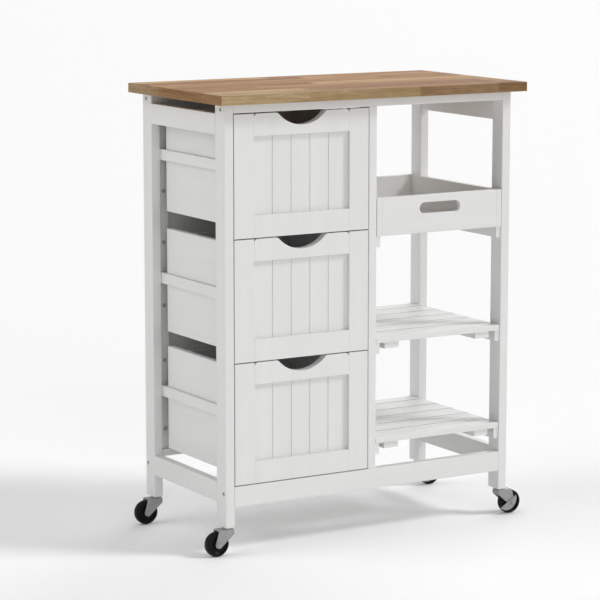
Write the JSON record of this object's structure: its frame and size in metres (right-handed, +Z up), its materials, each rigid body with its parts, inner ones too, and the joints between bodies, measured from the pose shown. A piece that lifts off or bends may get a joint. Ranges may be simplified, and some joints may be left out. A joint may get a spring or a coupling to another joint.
{
  "type": "kitchen cart",
  "caption": "White-painted rolling kitchen cart with a butcher-block top, drawers in one bay, a pull-out tray and slatted shelves in the other, on swivel casters.",
  "frame": {"origin": "on the floor under the centre of the cart", "axes": "+X to the right, -Y is the front with the drawers, +Z up"},
  "size_m": [0.7086, 0.3682, 0.8572],
  "materials": {
    "wood_top": "oiled edge-glued hardwood staves",
    "painted_wood": "satin white paint on solid wood",
    "caster_steel": "zinc-plated pressed steel",
    "wheel_black": "black moulded wheel",
    "bolt_steel": "plated steel fasteners"
  },
  "bodies": {
    "frame": {"top_board": "wood_top", "left_front_post": "painted_wood", "left_back_post": "painted_wood", "right_front_post": "painted_wood", "right_back_post": "painted_wood", "middle_front_stile": "painted_wood", "middle_back_stile": "painted_wood", "top_front_rail": "painted_wood", "top_back_rail": "painted_wood", "bottom_front_rail": "painted_wood", "bottom_back_rail": "painted_wood", "left_top_rail": "painted_wood", "left_bottom_rail": "painted_wood", "right_top_rail": "painted_wood", "right_bottom_rail": "painted_wood", "panel_battens": "painted_wood", "back_panel": "painted_wood", "drawer_runners": "painted_wood", "bay_cleats": "painted_wood", "upper_shelf_slats": "painted_wood", "lower_shelf_slats": "painted_wood", "upper_shelf_battens": "painted_wood", "lower_shelf_battens": "painted_wood", "caster_stems": "caster_steel", "frame_bolts": "bolt_steel", "top_screws": "bolt_steel", "batten_screws": "bolt_steel"},
    "lower_drawer": {"lower_drawer_front_frame": "painted_wood", "lower_drawer_front_panel": "painted_wood", "lower_drawer_left_side": "painted_wood", "lower_drawer_right_side": "painted_wood", "lower_drawer_back": "painted_wood", "lower_drawer_bottom": "painted_wood"},
    "middle_drawer": {"middle_drawer_front_frame": "painted_wood", "middle_drawer_front_panel": "painted_wood", "middle_drawer_left_side": "painted_wood", "middle_drawer_right_side": "painted_wood", "middle_drawer_back": "painted_wood", "middle_drawer_bottom": "painted_wood"},
    "upper_drawer": {"upper_drawer_front_frame": "painted_wood", "upper_drawer_front_panel": "painted_wood", "upper_drawer_left_side": "painted_wood", "upper_drawer_right_side": "painted_wood", "upper_drawer_back": "painted_wood", "upper_drawer_bottom": "painted_wood"},
    "tray": {"tray_front": "painted_wood", "tray_back": "painted_wood", "tray_left_side": "painted_wood", "tray_right_side": "painted_wood", "tray_bottom": "painted_wood"},
    "left_front_caster": {"left_front_caster_fork": "caster_steel"},
    "left_front_wheel": {"left_front_wheel": "wheel_black"},
    "left_back_caster": {"left_back_caster_fork": "caster_steel"},
    "left_back_wheel": {"left_back_wheel": "wheel_black"},
    "right_front_caster": {"right_front_caster_fork": "caster_steel"},
    "right_front_wheel": {"right_front_wheel": "wheel_black"},
    "right_front_brake": {"right_front_brake_lever": "caster_steel"},
    "right_back_caster": {"right_back_caster_fork": "caster_steel"},
    "right_back_wheel": {"right_back_wheel": "wheel_black"},
    "right_back_brake": {"right_back_brake_lever": "caster_steel"}
  },
  "joints": [
    {"name": "lower_drawer_slide", "type": "slide", "parent": "frame", "child": "lower_drawer", "axis": [0, -1, 0], "range_m": [0, 0.2]},
    {"name": "middle_drawer_slide", "type": "slide", "parent": "frame", "child": "middle_drawer", "axis": [0, -1, 0], "range_m": [0, 0.2]},
    {"name": "upper_drawer_slide", "type": "slide", "parent": "frame", "child": "upper_drawer", "axis": [0, -1, 0], "range_m": [0, 0.2]},
    {"name": "tray_slide", "type": "slide", "parent": "frame", "child": "tray", "axis": [0, -1, 0], "range_m": [0, 0.2]},
    {"name": "left_front_caster_swivel", "type": "hinge", "parent": "frame", "child": "left_front_caster", "pos_m": [-0.30695, -0.14825, 0.05], "axis": [0, 0, 1], "continuous": true},
    {"name": "left_front_wheel_spin", "type": "hinge", "parent": "left_front_caster", "child": "left_front_wheel", "pos_m": [-0.33075, -0.14825, 0.0235], "axis": [0, 1, 0], "continuous": true},
    {"name": "left_back_caster_swivel", "type": "hinge", "parent": "frame", "child": "left_back_caster", "pos_m": [-0.30695, 0.13815, 0.05], "axis": [0, 0, 1], "continuous": true},
    {"name": "left_back_wheel_spin", "type": "hinge", "parent": "left_back_caster", "child": "left_back_wheel", "pos_m": [-0.33075, 0.13815, 0.0235], "axis": [0, 1, 0], "continuous": true},
    {"name": "right_front_caster_swivel", "type": "hinge", "parent": "frame", "child": "right_front_caster", "pos_m": [0.30695, -0.14825, 0.05], "axis": [0, 0, 1], "continuous": true},
    {"name": "right_front_wheel_spin", "type": "hinge", "parent": "right_front_caster", "child": "right_front_wheel", "pos_m": [0.33075, -0.14825, 0.0235], "axis": [0, 1, 0], "continuous": true},
    {"name": "right_front_brake_turn", "type": "hinge", "parent": "right_front_caster", "child": "right_front_brake", "pos_m": [0.33075, -0.14825, 0.0235], "axis": [0, 1, 0], "range_deg": [0, 25]},
    {"name": "right_back_caster_swivel", "type": "hinge", "parent": "frame", "child": "right_back_caster", "pos_m": [0.30695, 0.13815, 0.05], "axis": [0, 0, 1], "continuous": true},
    {"name": "right_back_wheel_spin", "type": "hinge", "parent": "right_back_caster", "child": "right_back_wheel", "pos_m": [0.33075, 0.13815, 0.0235], "axis": [0, 1, 0], "continuous": true},
    {"name": "right_back_brake_turn", "type": "hinge", "parent": "right_back_caster", "child": "right_back_brake", "pos_m": [0.33075, 0.13815, 0.0235], "axis": [0, 1, 0], "range_deg": [0, 25]}
  ]
}
